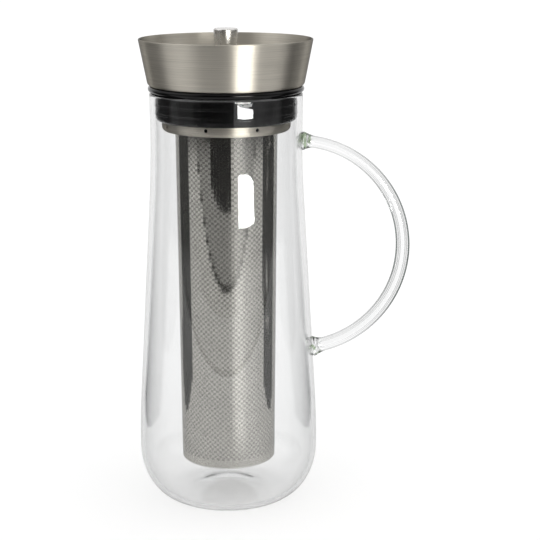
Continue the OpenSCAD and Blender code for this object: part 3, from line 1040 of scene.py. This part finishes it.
# %% Bands of the sky
BANDS = [
    (-180, 1.0), (-140, 1.0), (-124, 0.5), (-112, 0.7), (-97, 1.4), (-60, 1.7), (-48, 1.2), (-36, 0.2),
    (-30, 0.03), (10, 0.03), (16, 0.2), (42, 0.5), (60, 0.7), (78, 1.2), (94, 1.3), (103, 0.5),
    (114, 0.5), (130, 0.9), (180, 1.0),
]
world = bpy.data.worlds.new("studio")
world.use_nodes = True
bpy.context.scene.world = world
tree = world.node_tree
side = split(tree, add(tree, "ShaderNodeTexCoord").outputs["Generated"])
towards = calc(tree, "MULTIPLY", side["Y"], -1.0)
azimuth = calc(tree, "ARCTAN2", side["X"], towards)
share_round = mapped(tree, azimuth, start=-math.pi, end=math.pi)
bands = ramp(tree, share_round, [((degrees + 180) / 360, light) for degrees, light in BANDS])
print("stops round the sky:", len(BANDS))

# %% [markdown]
# The bands are dim near the horizon, except behind the jug, and overhead they give way to white.
# Rays that no mirror has turned see white everywhere.

# %% Height of the sky
LOW_LIGHT = 0.06
LOW_FROM = 0.02
LOW_FULL = 0.3
REAR_FROM = 0.3
OVERHEAD_FROM = 0.55
OVERHEAD_FULL = 0.8
SKY_WHITE = (1.18, 1.18, 1.18)
lifted = mapped(tree, side["Z"], low=LOW_LIGHT, start=LOW_FROM, end=LOW_FULL)
rear = calc(tree, "GREATER_THAN", side["Y"], REAR_FROM)
dimmed = add(tree, "ShaderNodeVectorMath", operation="SCALE")
tree.links.new(bands, dimmed.inputs[0])
tree.links.new(calc(tree, "MAXIMUM", lifted, rear), dimmed.inputs["Scale"])
overhead = mapped(tree, side["Z"], start=OVERHEAD_FROM, end=OVERHEAD_FULL)
white = calc(tree, "MAXIMUM", not_mirrored(tree), overhead)
sky = covered(tree, dimmed.outputs[0], SKY_WHITE, white)
tree.links.new(sky, tree.nodes["Background"].inputs["Color"])
print("the sky has", len(tree.nodes), "nodes")

# %% [markdown]
# One low, wide light stands in front at the right. It draws the warm shine on the funnel, the
# hanger and the knob. Dull surfaces aren't lit by it, and rays that pass through glass don't see
# it, which keeps the floor even and the rod free of sparkles.

# %% Soft light
KEY_TURN = math.radians(26)
KEY_AWAY = 1.0
KEY_LOW = 0.14
KEY_HIGH = 0.34
KEY_WIDTH = 0.42
key_place = (KEY_AWAY * math.sin(KEY_TURN), -KEY_AWAY * math.cos(KEY_TURN), (KEY_LOW + KEY_HIGH) / 2)
bpy.ops.object.light_add(type="AREA", location=key_place, rotation=(math.radians(90), 0, KEY_TURN))
key = bpy.context.object
key.data.shape = "RECTANGLE"
key.data.size = KEY_WIDTH
key.data.size_y = KEY_HIGH - KEY_LOW
key.data.energy = 5.5
key.data.color = (1.0, 0.985, 0.93)
key.visible_diffuse = False
key.visible_transmission = False
print("soft light of", key.data.energy, "W")

# %% [markdown]
# Two cards finish the studio. A dark one stands in front, and the polished filter shows it as a dark
# stripe. A small bright one at the right gives the white patches on the front of the glass, with a
# slanted upper edge. The camera itself sees neither.

# %% Cards
def card(name, middle, width, height, turn, light):
    bpy.ops.mesh.primitive_plane_add(size=1, location=middle, rotation=(math.pi / 2, 0, turn))
    panel = bpy.context.object
    panel.name = name
    panel.scale = (width, height, 1)
    panel.visible_camera = False
    panel.visible_diffuse = False
    panel.visible_shadow = False
    paint, tree, shader, point = new_material(name, Base_Color=(0, 0, 0, 1), Emission_Strength=light)
    shader.inputs["Emission Color"].default_value = (1, 1, 1, 1)
    panel.data.materials.append(paint)
    return tree, shader, point


PATCH_TURN = math.radians(29.5)
PATCH_Z = 0.0942
EDGE_SLANT = -0.4
EDGE_MIDDLE = 0.3
card("dark_card", (-0.2, -0.8, 0.5), width=0.75, height=1.0, turn=0, light=0.006)
patch_place = (KEY_AWAY * math.sin(PATCH_TURN), -KEY_AWAY * math.cos(PATCH_TURN), PATCH_Z)
tree, shader, point = card(
    "bright_card", patch_place, width=0.4, height=0.0355, turn=PATCH_TURN, light=25.0
)
side = split(tree, point)
upper_edge = calc(tree, "ADD", calc(tree, "MULTIPLY", side["X"], EDGE_SLANT), EDGE_MIDDLE)
below_edge = calc(tree, "LESS_THAN", side["Y"], upper_edge)
bright = mixed(tree, below_edge, low=(0, 0, 0), high=(1, 1, 1))
tree.links.new(bright, shader.inputs["Emission Color"])

# %% [markdown]
# ## Finishing
# The Standard view keeps whites white.

# %% Picture settings
bpy.context.scene.view_settings.view_transform = "Standard"
